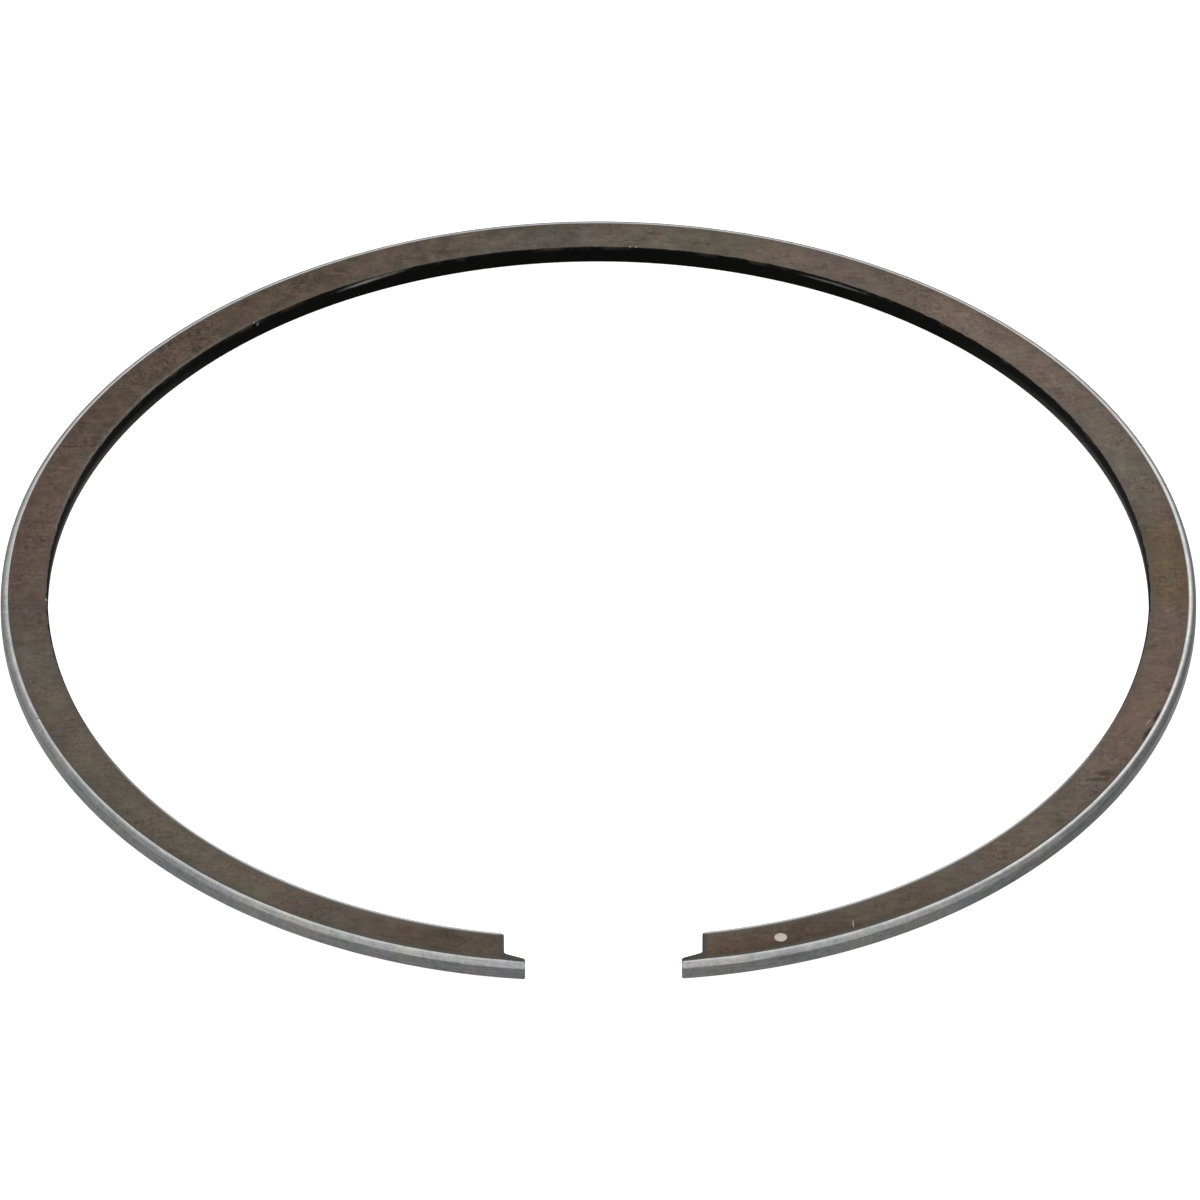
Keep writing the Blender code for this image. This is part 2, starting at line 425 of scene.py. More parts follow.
def sprung_line(sizes):
    """Springing that opens the ring to its free gap, and the centred middle line."""
    wanted = sizes.free_gap - 2 * sizes.tip_grinding - sizes.fitted_gap
    springing = wanted / (1.5 * math.pi * (sizes.bore_diameter - sizes.radial_wall))
    for _ in range(8):
        springing *= wanted / (opening(sizes, free_line(sizes, springing)) - sizes.fitted_gap)
    stations = free_line(sizes, springing)
    outline = [station.offset(sizes.radial_wall / 2) for station in stations]
    across = [point.x for point in outline]
    along = [point.y for point in outline]
    centre = Vector(((min(across) + max(across)) / 2, (min(along) + max(along)) / 2))
    for station in stations:
        station.point = station.point - centre
    return springing, stations


def corner_arc(corner, first_side, second_side, radius):
    """Arc that touches both sides of a corner, from the first side to the second."""
    half_corner = first_side.angle(second_side) / 2
    centre = corner + (first_side + second_side).normalized() * (radius / math.sin(half_corner))
    reach = radius / math.tan(half_corner)
    first = corner + first_side * reach - centre
    turn = (corner + second_side * reach - centre).angle_signed(first)
    return [centre + Matrix.Rotation(turn * index / CORNER_STEPS, 2) @ first
            for index in range(CORNER_STEPS + 1)]


def run_out(points):
    """Replaces an arc's last point by one further on, so that it leaves the metal at a slant."""
    outside = points[-2] + (points[-2] - points[-3]).normalized() * CUTTER_OVERRUN
    return points[:-1] + [outside]


def station_at(stations, outward, x):
    """The right-hand station whose point at this offset is nearest to this X."""
    right_half = stations[len(stations) // 2:]
    return min(right_half, key=lambda station: abs(station.offset(outward).x - x)
               + (station.point.y > 0))


def tip_outline(sizes, stations):
    """The gap and both pin notches seen from above, anticlockwise from the right tip's front."""
    half_gap = sizes.free_gap / 2
    half_wall = sizes.radial_wall / 2
    front = stations[-1]
    into_ring = -front.forward
    outer = front.offset(half_wall)
    outer = outer + into_ring * ((half_gap - outer.x) / into_ring.x)
    tongue_tip = Vector((half_gap, outer.y + sizes.tongue_tip_wall))
    root = Vector((half_gap + sizes.notch_length, outer.y + sizes.tongue_root_wall))
    along_tongue = (root - tongue_tip).normalized()
    back = Vector((0.0, 1.0))
    bore = station_at(stations, -half_wall, root.x)
    bore_corner = bore.offset(-half_wall)
    bore_corner = bore_corner + bore.forward * ((root.x - bore_corner.x) / bore.forward.x)
    corner = sizes.tip_corner_radius
    right = run_out(corner_arc(outer, back, into_ring, corner))[::-1]
    right += corner_arc(tongue_tip, -back, along_tongue, corner)
    right += corner_arc(root, -along_tongue, back, sizes.notch_fillet)
    right += run_out(corner_arc(bore_corner, -back, -bore.forward, corner))
    right.append(Vector((right[-1].x, bore_corner.y + sizes.radial_wall)))
    left = [Vector((-point.x, point.y)) for point in reversed(right)]
    return right + left


def grown(outline, distance):
    """The outline moved outwards, to the right of its direction of travel."""
    moved = []
    for before, here, after in zip(outline[-1:] + outline[:-1], outline, outline[1:] + outline[:1]):
        first = (here - before).normalized()
        second = (after - here).normalized()
        normals = Vector((first.y + second.y, -first.x - second.x))
        moved.append(here + normals * (distance / (1 + first.dot(second))))
    return moved


def cutting_levels(height, radius, steps=5, slant=0.00003):
    """Heights and outward flares of a cutter that leaves rounded edges on both flat sides."""
    flares = []
    for index in range(steps):
        angle = math.pi / 2 * index / steps
        flares.append((radius * (1 - math.sin(angle)), radius * (1 - math.cos(angle))))
    last = math.pi / 2 * (steps - 0.5) / steps
    height_left, flare = flares[-1]
    flares.append((height_left - slant * math.cos(last), flare + slant * math.sin(last)))
    flares.append((-CUTTER_OVERRUN, flares[-1][1]))
    return flares[::-1] + [(height - level, flare) for level, flare in flares]


def add_object(name, data):
    piece = bpy.data.objects.new(name, data)
    bpy.context.scene.collection.objects.link(piece)
    return piece


def add_mesh_object(name, bm):
    mesh = bpy.data.meshes.new(name)
    bm.to_mesh(mesh)
    bm.free()
    return add_object(name, mesh)


def new_cutter():
    """Empty cutter, whose faces will carry the number of the finish that they leave."""
    bm = bmesh.new()
    return bm, bm.faces.layers.int.new("side")


def tip_cutter(sizes, stations):
    """Closed cutter that grinds both tips and opens their notches."""
    outline = tip_outline(sizes, stations)
    bm, side = new_cutter()
    loops = []
    for level, flare in cutting_levels(sizes.height, sizes.tip_edge_radius):
        loops.append([bm.verts.new((point.x, point.y, level)) for point in grown(outline, flare)])
    for lower, upper in zip(loops, loops[1:]):
        for index, start in enumerate(lower):
            after = (index + 1) % len(lower)
            face = bm.faces.new((start, lower[after], upper[after], upper[index]))
            at_running_face = min(index, len(lower) - 2 - index) < CORNER_STEPS
            face[side] = RUNNING_SIDE if at_running_face else TIP_SIDE
    bm.faces.new(reversed(loops[0]))
    bm.faces.new(loops[-1])
    return add_mesh_object("tip_cutter", bm)


def dot_place(sizes, stations):
    """Centre of the dot, measured back along the middle line from the right tip."""
    travelled = 0.0
    for here, ahead in zip(reversed(stations[:-1]), reversed(stations)):
        travelled += (ahead.point - here.point).length
        if travelled >= sizes.dot_from_tip:
            return here.offset(sizes.radial_wall / 2 - sizes.dot_from_running_face)
    raise ValueError("the dot lies past the end of the ring")


def dot_cutter(sizes, stations):
    """Shallow round tool with a slanted wall."""
    bm, side = new_cutter()
    radius = sizes.dot_diameter / 2
    bmesh.ops.create_cone(bm, cap_ends=True, segments=48, radius1=radius - sizes.dot_depth,
                          radius2=radius + sizes.dot_depth, depth=2 * sizes.dot_depth)
    place = dot_place(sizes, stations)
    bmesh.ops.translate(bm, verts=bm.verts, vec=(place.x, place.y, sizes.height))
    for face in bm.faces:
        face[side] = DOT_SIDE
    return add_mesh_object("dot_cutter", bm)


def captured(graph, geometry, data_type, name, value):
    """The geometry with a value kept on each of its points, and that value."""
    kept = graph.node("GeometryNodeCaptureAttribute")
    kept.capture_items.new(data_type, name)
    graph.feed(kept.inputs["Geometry"], geometry)
    graph.feed(kept.inputs[name], value)
    return kept.outputs["Geometry"], kept.outputs[name]


def ring_section(graph, sizes_in):
    """Rounded section, +X outward and +Y up from the underside, with its own coordinates kept."""
    rectangle = graph.made("GeometryNodeCurvePrimitiveQuadrilateral", {
        "Width": sizes_in["Radial Wall"], "Height": sizes_in["Height"]}, mode="RECTANGLE")
    position = graph.made("GeometryNodeInputPosition")
    x, y, _ = graph.parts(position)
    is_outer = graph.above(x, 0.0)
    is_upper = graph.above(y, 0.0)
    running = graph.blend(is_upper, sizes_in["Lower Running Radius"], sizes_in["Upper Running Radius"])
    radius = graph.blend(is_outer, sizes_in["Inner Edge Radius"], running)
    points = graph.math("MULTIPLY_ADD", graph.times(is_outer, is_upper),
                        LARGE_EDGE_POINTS - EDGE_POINTS, EDGE_POINTS)
    rounded = graph.made("GeometryNodeFilletCurve", {
        "Curve": rectangle, "Radius": radius, "Count": points}, mode="POLY")
    standing = graph.made("GeometryNodeSetPosition", {
        "Geometry": rounded, "Offset": graph.point(0.0, graph.times(sizes_in["Height"], 0.5))})
    section, section_place = captured(graph, standing, "VECTOR", "Section Place", position)
    turned = graph.made("GeometryNodeTransform", {"Geometry": section, "Rotation": (0.0, 0.0, math.pi)})
    return turned, section_place


def ring_line(graph, sizes_in):
    """Middle line of the unloaded ring as a running sum of short steps, with its length kept."""
    middle_radius = graph.times(graph.minus(sizes_in["Bore Diameter"], sizes_in["Radial Wall"]), 0.5)
    half_turn = graph.minus(
        math.pi, graph.math("DIVIDE", sizes_in["Fitted Gap"], sizes_in["Bore Diameter"]))
    step = graph.math("DIVIDE", graph.times(half_turn, 2.0), sizes_in["Stations"])
    index = graph.made("GeometryNodeInputIndex")
    angle = graph.minus(graph.times(graph.minus(index, 0.5), step), half_turn)
    bending = graph.times(sizes_in["Springing"], graph.plus(angle, graph.math("SINE", angle)))
    heading = graph.minus(angle, bending)
    direction = graph.point(graph.math("COSINE", heading), graph.times(graph.math("SINE", heading), -1.0))
    length = graph.times(middle_radius, step, graph.above(index, 0.5))
    travelled = graph.node("GeometryNodeAccumulateField", {
        "Value": graph.scaled(direction, length)}, data_type="FLOAT_VECTOR", domain="POINT")
    straight = graph.made("GeometryNodeCurvePrimitiveLine")
    divided = graph.made("GeometryNodeResampleCurve", {
        "Curve": straight, "Count": graph.plus(sizes_in["Stations"], 1.0)})
    bent = graph.made("GeometryNodeSetPosition", {
        "Geometry": divided, "Position": travelled.outputs["Leading"]})
    upright = graph.made("GeometryNodeSetCurveNormal", {"Curve": bent}, mode="Z_UP")
    return captured(graph, upright, "FLOAT", "Along",
                    graph.node("GeometryNodeSplineParameter").outputs["Length"])


def centred(graph, geometry):
    """Geometry moved so that its box is centred on the Z axis."""
    box = graph.node("GeometryNodeBoundBox", {"Geometry": geometry}).outputs
    middle = graph.scaled(graph.vector("ADD", box["Min"], box["Max"]), -0.5)
    level = graph.vector("MULTIPLY", middle, (1.0, 1.0, 0.0))
    return graph.made("GeometryNodeTransform", {"Geometry": geometry, "Translation": level})


def stored(graph, geometry, name, value, data_type, domain):
    return graph.made("GeometryNodeStoreNamedAttribute", {
        "Geometry": geometry, "Name": name, "Value": value}, data_type=data_type, domain=domain)


def sprung_ring_tree(finishes):
    """Ring body: its section swept along the free line, less the tips, notches and dot."""
    graph, sizes_in, result = new_tree("sprung_ring", "GeometryNodeTree", {
        "Geometry": "NodeSocketGeometry",
        "Bore Diameter": 0.072, "Radial Wall": 0.003, "Height": 0.0012,
        "Fitted Gap": 0.00025, "Springing": 0.03,
        "Upper Running Radius": 0.00048, "Lower Running Radius": 0.0002,
        "Inner Edge Radius": 0.00006, "Stations": 640,
        "Tip Cutter": "NodeSocketObject", "Dot Cutter": "NodeSocketObject",
    }, {"Geometry": "NodeSocketGeometry"})
    section, section_place = ring_section(graph, sizes_in)
    line, along = ring_line(graph, sizes_in)
    swept = graph.made("GeometryNodeCurveToMesh", {
        "Curve": line, "Profile Curve": section, "Fill Caps": True})
    across, up, _ = graph.parts(section_place)
    ring_place = graph.point(along, across)
    body = stored(graph, centred(graph, swept), RING_MAP, ring_place, "FLOAT2", "CORNER")
    half_height = graph.times(sizes_in["Height"], 0.5)
    from_middle = graph.unsigned(graph.minus(up, half_height))
    is_flat = graph.above(from_middle, graph.times(half_height, 0.9999))
    is_outer = graph.above(across, 0.0)
    side = graph.blend(is_flat, graph.blend(is_outer, INNER_SIDE, RUNNING_SIDE), FLAT_SIDE)
    body = stored(graph, body, "side", side, "INT", "FACE")
    cut = graph.node("GeometryNodeMeshBoolean", {"Mesh 1": body}, operation="DIFFERENCE", solver="EXACT")
    for name in ("Dot Cutter", "Tip Cutter"):
        cutter = graph.node("GeometryNodeObjectInfo", {"Object": sizes_in[name]})
        graph.feed(cut.inputs["Mesh 2"], cutter.outputs["Geometry"])
    side_here = graph.made("GeometryNodeInputNamedAttribute", {"Name": "side"}, data_type="INT")
    shaded = graph.made("GeometryNodeSetShadeSmooth", {
        "Geometry": cut.outputs["Mesh"], "Shade Smooth": graph.above(side_here, FLAT_SIDE + 0.5)})
    dressed = graph.made("GeometryNodeRealizeInstances", {"Geometry": shaded})
    for cut_side, material in finishes.items():
        chosen = graph.math("COMPARE", side_here, cut_side, 0.1)
        dressed = graph.made("GeometryNodeSetMaterial", {
            "Geometry": dressed, "Selection": chosen, "Material": material})
    graph.feed(result["Geometry"], dressed)
    return graph.tree


def set_inputs(modifier, values):
    """Gives a Geometry Nodes modifier its inputs by their sockets' identifiers."""
    identifiers = {item.name: item.identifier for item in modifier.node_group.interface.items_tree
                   if item.in_out == "INPUT"}
    for name, value in values.items():
        modifier[identifiers[name]] = value


def grain_group():
    """Fine parallel scratches: X of the place runs across them and Y along them."""
    graph, given, result = new_tree("grain_lines", "ShaderNodeTree", {
        "Place": ORIGIN, "Lines per mm": 12.0, "Line Length": 3.0}, {"Lines": "NodeSocketFloat"})
    x, y, z = graph.parts(given["Place"])
    stretched = graph.point(
        graph.times(x, given["Lines per mm"]), graph.math("DIVIDE", y, given["Line Length"]), z)
    graph.feed(result["Lines"], graph.ramp(graph.noise(stretched, detail=3.0, roughness=0.65), 0.3, 0.7))
    return graph.tree


def mottle_group():
    """Cloudy tones of a dipped coat: broad drifts, patches and fine flecks, each about 0.5."""
    graph, given, result = new_tree("coat_mottle", "ShaderNodeTree", {
        "Place": ORIGIN, "Patch Size": 4.5,
    }, dict.fromkeys(("Drift", "Patches", "Flecks"), "NodeSocketFloat"))
    place = given["Place"]
    scale = graph.math("DIVIDE", 1.0, given["Patch Size"])
    graph.feed(result["Drift"], graph.noise(place, graph.times(scale, 0.25), detail=1.0))
    graph.feed(result["Patches"], graph.noise(place, scale, detail=3.0, roughness=0.8, distortion=0.3))
    graph.feed(result["Flecks"], graph.noise(place, graph.times(scale, 15.0), roughness=0.9))
    return graph.tree


def hue_group():
    """Faint hues of fine flecks, as a colour about white that another colour is multiplied by."""
    graph, given, result = new_tree("hue_flecks", "ShaderNodeTree", {
        "Place": ORIGIN, "Flecks per mm": 1.5, "Amount": 0.2}, {"Hue": "NodeSocketColor"})
    noise = graph.node("ShaderNodeTexNoise", {
        "Vector": given["Place"], "Scale": given["Flecks per mm"], "Detail": 3.0, "Roughness": 0.75})
    away = graph.vector("SUBTRACT", noise.outputs["Color"], (0.5, 0.5, 0.5))
    graph.feed(result["Hue"], graph.vector("ADD", graph.scaled(away, given["Amount"]), WHITE))
    return graph.tree


def rim_group():
    """Band along an edge of known offset from the middle line, with a ragged border."""
    graph, given, result = new_tree("rim_band", "ShaderNodeTree", {
        "Offset": 0.0, "Edge": 1.0, "Width": 0.2, "Ragged": 0.5}, {"Mask": "NodeSocketFloat"})
    away = graph.unsigned(graph.minus(given["Offset"], given["Edge"]))
    reach = graph.times(given["Width"], graph.plus(given["Ragged"], 0.5))
    graph.feed(result["Mask"], graph.ramp(away, 0.0, reach, 1.0, 0.0))
    return graph.tree


def mark_group():
    """One chip, scratch, stain or painted glint: an ellipse with a ragged edge, placed on the ring's own
    map.
    """
    graph, given, result = new_tree("surface_mark", "ShaderNodeTree", {
        "Place": ORIGIN, "Centre": ORIGIN, "Half Size": (1.0, 1.0, 1.0), "Turn": 0.0,
        "Soft": 0.5, "Ragged": 0.5}, {"Mask": "NodeSocketFloat"})
    turned = graph.made("ShaderNodeVectorRotate", {
        "Vector": graph.vector("SUBTRACT", given["Place"], given["Centre"]), "Angle": given["Turn"]},
        rotation_type="Z_AXIS")
    sized = graph.vector("DIVIDE", turned, given["Half Size"])
    reach = graph.node("ShaderNodeVectorMath", {0: sized}, operation="LENGTH").outputs["Value"]
    noise = graph.noise(given["Place"], 3.0, detail=3.0, roughness=0.7)
    ragged_reach = graph.math(
        "MULTIPLY_ADD", graph.minus(noise, 0.5), graph.times(given["Ragged"], 2.0), reach)
    graph.feed(result["Mask"], graph.ramp(ragged_reach, graph.minus(1.0, given["Soft"]), 1.0, 1.0, 0.0))
    return graph.tree


def shared_groups():
    return {"grain": grain_group(), "mottle": mottle_group(), "hue": hue_group(),
            "rim": rim_group(), "mark": mark_group()}


def new_material(name):
    """A material, its graph and the two places that its patterns read, in millimetres."""
    material = bpy.data.materials.new(name)
    material.use_nodes = True
    graph = Graph(material.node_tree)
    place = graph.scaled(graph.node("ShaderNodeTexCoord").outputs["Object"], PER_MM)
    ring_map = graph.made("ShaderNodeUVMap", uv_map=RING_MAP)
    return material, graph, place, graph.scaled(ring_map, PER_MM)


def finished(material, values):
    """The material, with the sockets of its Principled BSDF set or fed by name."""
    graph = Graph(material.node_tree)
    shader = material.node_tree.nodes["Principled BSDF"]
    for name, value in values.items():
        graph.feed(shader.inputs[name], value)
    return material


def swayed(graph, middle, *patterns, clamp=False):
    """A middle value moved by patterns about 0.5, each by its own amount."""
    for pattern, amount in patterns:
        moved = graph.times(graph.minus(pattern, 0.5), amount)
        middle = graph.math("ADD", middle, moved, clamp=clamp and pattern is patterns[-1][0])
    return middle


def grain(graph, groups, place, lines_per_mm, line_length):
    return graph.group(groups["grain"], {
        "Place": place, "Lines per mm": lines_per_mm, "Line Length": line_length})["Lines"]


def tinted(graph, groups, base, place, amount):
    """The base colour with faint hues of fine flecks."""
    hue = graph.group(groups["hue"], {"Place": place, "Flecks per mm": 0.8, "Amount": amount})["Hue"]
    return graph.vector("MULTIPLY", base, hue)


def bumped(graph, height, strength, depth):
    return graph.made("ShaderNodeBump", {"Strength": strength, "Distance": depth, "Height": height})


def marked(graph, groups, base, place, marks, finish, shown):
    """The base colour with marks laid on it, each a zone, chip, scratch, stain or painted glint of its own
    tone.
    """
    for mark in marks:
        mask = graph.group(groups["mark"], {
            "Place": place, "Centre": (mark.along, mark.across, 0.0),
            "Half Size": (mark.half_length, mark.half_width, 1.0), "Turn": mark.turn,
            "Soft": mark.soft, "Ragged": mark.ragged})["Mask"]
        tone = getattr(finish, TONES[mark.tone])
        base = graph.mix(graph.times(mask, mark.strength, shown), base, tone)
    return base


class FlatPlace:
    """Where a point of the flat sides lies, in millimetres, and whether on top and at the front."""

    def __init__(self, graph, sizes, place, ring_place):
        half_wall = sizes.radial_wall / 2
        self.x, self.y, z = graph.parts(place)
        self.along, self.across, _ = graph.parts(ring_place)
        self.sideways = graph.unsigned(self.x)
        self.outer_edge = (half_wall - sizes.upper_running_radius) * PER_MM
        self.inner_edge = -half_wall * PER_MM
        self.from_outer = graph.minus(self.outer_edge, self.across)
        self.from_inner = graph.minus(self.across, self.inner_edge)
        self.upper = graph.above(z, sizes.height * PER_MM / 2)
        self.front = graph.ramp(self.y, FRONT_START, FRONT_END)


def patchy_coat(graph, groups, finish, place, ring_place, tint, grey):
    """The coat's own colours: red and green patches, grey ones, and the zones round the ring."""
    redness = swayed(
        graph, 0.45, (tint["Drift"], 2.2), (tint["Patches"], 3.6), (tint["Flecks"], 3.6), clamp=True)
    greyness = swayed(
        graph, 0.28, (grey["Drift"], 0.9), (grey["Patches"], 2.4), (grey["Flecks"], 3.6), clamp=True)
    coat = graph.mix(redness, finish.olive_coat, finish.umber_coat)
    coat = graph.mix(greyness, coat, finish.grey_coat)
    coat = marked(graph, groups, coat, ring_place, COAT_ZONES, finish, 1.0)
    return tinted(graph, groups, coat, place, 0.46)


def coat_level(graph, place, at, shade, tint, grains):
    """How bright the coat is: darker at its edges, blotchy at the left back, and darker on the left than on
    the right as painted shading.
    """
    outer_line = graph.ramp(at.y, -20.0, 0.0, 0.90, 1.0)
    inner_line = graph.ramp(at.sideways, 26.0, 36.0, 0.91, 0.79)
    from_left_back = graph.unsigned(graph.minus(at.along, 72.0))
    speckle = graph.times(graph.ramp(from_left_back, 8.0, 28.0, 2.6, 1.7),
                          graph.ramp(tint["Patches"], 0.42, 0.58, 0.5, 1.35))
    blots = graph.noise(graph.vector("ADD", place, (11.0, 7.0, 3.0)), 1.0, detail=1.0, roughness=0.6)
    from_back = graph.unsigned(graph.minus(at.along, 83.0))
    blotchy = graph.ramp(from_back, 18.0, 36.0, 1.10, 0.42)
    mottling = swayed(
        graph, 1.0, (shade["Drift"], 0.4), (shade["Patches"], 0.80), (shade["Flecks"], speckle),
        (blots, blotchy), *zip(grains, (0.10, 0.21, 0.10)))
    # The ramp along X is painted shading: the coat darker on the left, lighter on the right
    return graph.times(
        graph.ramp(at.from_outer, 0.0, 1.1, 0.89, 1.01),
        graph.ramp(at.from_inner, 0.0, 0.6, inner_line, 1.0),
        graph.ramp(at.from_outer, 0.04, 0.16, outer_line, 1.0),
        graph.ramp(at.x, -30.0, 30.0, 0.84, 1.05), mottling)


def rubbed_rims(graph, groups, coat, finish, at, ragged):
    """The coat, paler along both edges and above all at the front."""
    outer_rim, inner_rim = [
        graph.group(groups["rim"], {
            "Offset": at.across, "Edge": edge, "Width": width, "Ragged": ragged})["Mask"]
        for edge, width in ((at.outer_edge, 0.35), (at.inner_edge, 0.80))]
    rim = graph.times(graph.math("MAXIMUM", outer_rim, inner_rim),
                      graph.ramp(at.front, 0.0, 1.0, 0.25, 0.85))
    level = graph.ramp(inner_rim, 0.0, 0.3, 0.54, 0.70)
    return graph.mix(rim, coat, graph.scaled(finish.pale_coat, level))


def worn_inner_edge(graph, coat, finish, at, ring_place):
    """The coat, worn in dashes at the left back, black-edged at the back, bright at the front."""
    dashes = graph.noise(ring_place, 1.7, roughness=0.6)
    reach = graph.times(graph.ramp(at.along, 55.0, 62.0), graph.ramp(at.along, 72.0, 90.0, 0.75, 0.12))
    worn = graph.times(graph.ramp(at.from_inner, 0.20, 0.42, 1.0, 0.0),
                       graph.ramp(dashes, 0.40, 0.58, 0.25, 1.0), reach)
    coat = graph.mix(worn, coat, finish.pale_coat)
    border = graph.math("MULTIPLY_ADD", dashes, -0.20, graph.plus(at.from_inner, 0.02))
    border = graph.times(graph.ramp(border, -0.02, 0.05, 1.0, 0.0), graph.ramp(at.y, -12.0, -4.0))
    coat = graph.mix(border, coat, finish.bore_black)
    bright_width = graph.ramp(at.y, FRONT_START, FRONT_END, 0.20, 0.27)
    bright = graph.times(graph.ramp(at.from_inner, 0.09, bright_width, 1.0, 0.0),
                         graph.ramp(at.y, -12.0, -26.0))
    return graph.mix(bright, coat, graph.scaled(finish.ground_steel, 1.35))


def flat_side_finish(settings, groups):
    """Brown-grey phosphate coat of both flat sides, over straight grinding lines."""
    sizes, finish = settings.sizes, settings.finish
    material, graph, place, ring_place = new_material("phosphate_coat")
    at = FlatPlace(graph, sizes, place, ring_place)
    shade, tint, grey = [
        graph.group(groups["mottle"], {
            "Place": graph.vector("ADD", place, shift), "Patch Size": finish.patch_size})
        for shift in (ORIGIN, (70.0, 30.0, 0.0), (-30.0, 90.0, 0.0))]
    lines = grain(graph, groups, place, 5.0, 1.2)
    cross_lines = grain(graph, groups, graph.point(at.y, at.x, 5.0), 3.6, 1.6)
    streaks = grain(graph, groups, graph.point(at.across, at.along), 1.6, 3.0)
    coat = patchy_coat(graph, groups, finish, place, ring_place, tint, grey)
    coat = graph.scaled(coat, coat_level(graph, place, at, shade, tint, (lines, cross_lines, streaks)))
    coat = rubbed_rims(graph, groups, coat, finish, at, shade["Patches"])
    tongue_root = (sizes.free_gap / 2 + sizes.notch_length) * PER_MM
    tongue = graph.ramp(at.sideways, tongue_root + 0.05, tongue_root + 0.45, 1.0, 0.0)
    coat = graph.mix(graph.times(tongue, at.front), coat, graph.scaled(finish.slate_coat, 0.80))
    coat = worn_inner_edge(graph, coat, finish, at, ring_place)
    coat = marked(graph, groups, coat, ring_place, COAT_MARKS, finish, at.upper)

    bare_width = graph.plus(graph.ramp(at.y, -15.0, 30.0, -0.03, 0.065, smooth=False),
                            graph.ramp(at.x, 24.0, 33.0, -0.03, 0.0))
    bare = graph.ramp(graph.minus(at.from_outer, bare_width), -0.03, 0.02, 0.80, 0.0)
    dull = graph.ramp(shade["Flecks"], 0.3, 0.7, 0.44, 0.56)
    return finished(material, {
        "Base Color": graph.mix(bare, coat, finish.ground_steel),
        "Roughness": graph.blend(bare, dull, 0.25),
        "Metallic": graph.blend(bare, 0.7, 1.0),
        "Specular IOR Level": 0.3,
        "Normal": bumped(graph, graph.plus(lines, shade["Flecks"]), 0.25, 0.00002)})


def running_side_finish(settings, groups):
    """Ground running face and rounded edges, with grain along the ring."""
    sizes, finish = settings.sizes, settings.finish
    material, graph, place, ring_place = new_material("ground_steel")
    x, y, z = graph.parts(place)
    along, across, _ = graph.parts(ring_place)
    lines = grain(graph, groups, graph.point(graph.minus(z, across), along), 9.0, 2.0)
    mottle = graph.group(groups["mottle"], {"Place": place, "Patch Size": 5.0})
    steel = graph.mix(graph.ramp(mottle["Patches"], 0.4, 0.6), finish.cool_steel, finish.warm_steel)
    steel = graph.mix(graph.ramp(mottle["Flecks"], 0.35, 0.65), steel, finish.ground_steel)
    steel = graph.scaled(tinted(graph, groups, steel, place, 0.28), swayed(
        graph, 1.0, (lines, 0.30), (mottle["Patches"], 0.4), (mottle["Flecks"], 0.75)))
    upper = graph.above(z, sizes.height * PER_MM / 2)
    steel = marked(graph, groups, steel, ring_place, EDGE_MARKS, finish, upper)

    coat_end = (sizes.radial_wall / 2 - sizes.upper_running_radius) * PER_MM
    half_gap = sizes.free_gap / 2 * PER_MM
    near_tip = graph.ramp(graph.unsigned(x), half_gap, half_gap + 1.6, 0.05, 0.0)
    past_coat = graph.minus(graph.minus(across, coat_end), near_tip)
    at_front = graph.times(graph.above(across, 0.0), graph.ramp(y, 4.0, -20.0))
    lap = graph.times(graph.ramp(past_coat, 0.02, 0.06, 1.0, 0.0), at_front)
    polish = graph.ramp(mottle["Flecks"], 0.3, 0.7, 0.13, 0.20)
    return finished(material, {
        "Base Color": graph.mix(lap, steel, graph.scaled(finish.slate_coat, 0.8)),
        "Roughness": graph.blend(lap, polish, 0.5),
        "Metallic": graph.blend(lap, 1.0, 0.7),
        "Normal": bumped(graph, lines, 0.12, 0.00001)})


def inner_side_finish(settings, groups):
    """Near-black bore side, its own dark coat deepened as painted shade: coat runs over its top,
    and a painted reflection, lighter low down, lies at the ring's sides.

    A few painted glints, pale streaks, run along it near its top at the back.
    """
    finish = settings.finish
    material, graph, place, ring_place = new_material("bore_side_black")
    x, _, z = graph.parts(place)
    along, across, _ = graph.parts(ring_place)
    mottle = graph.group(groups["mottle"], {"Place": place, "Patch Size": 3.0})
    # Base of the bore side: its own dark coat, deepened as painted shade
    black = graph.scaled(finish.bore_black, swayed(
        graph, 1.0, (mottle["Flecks"], 2.0), (mottle["Patches"], 1.5)))
    # Painted reflection: the bore side is made lighter low down, more so towards the ring's sides
    sideways = graph.ramp(graph.unsigned(x), 22.0, 38.0, smooth=False)
    painted_reflection = graph.times(graph.math("POWER", sideways, 2.0), graph.ramp(z, 0.10, 0.78, 1.0, 0.0))
    painted_reflection = graph.math("MULTIPLY", painted_reflection, swayed(graph, 0.9, (mottle["Patches"], 1.0)), clamp=True)
    black = graph.mix(painted_reflection, black, finish.bore_painted_sheen)
    top = settings.sizes.height * PER_MM
    runs = graph.noise(ring_place, 0.5, detail=3.0, roughness=0.6)
    spill = graph.times(graph.ramp(z, top - 0.32, top), graph.ramp(runs, 0.50, 0.64, 0.02, 0.45))
    black = graph.mix(spill, black, finish.dark_coat)
    # Painted glints along the top of the bore side at the back
    facing_bore = graph.math("LESS_THAN", across, 0.0)
    black = marked(graph, groups, black, graph.point(along, z), PAINTED_BORE_GLINTS, finish, facing_bore)
    return finished(material, {
        "Base Color": black,
        "Roughness": graph.ramp(mottle["Flecks"], 0.3, 0.7, 0.5, 0.65),
        "Specular IOR Level": 0.05})


def tip_side_finish(settings, groups):
    """Dull ground steel of the tips and notches."""
    material, graph, place, _ = new_material("tip_steel")
    lines = grain(graph, groups, place, 10.0, 1.0)
    return finished(material, {
        "Base Color": graph.scaled(settings.finish.slate_coat, swayed(graph, 0.9, (lines, 0.5))),
        "Roughness": graph.ramp(lines, 0.0, 1.0, 0.35, 0.5),
        "Metallic": 0.7})


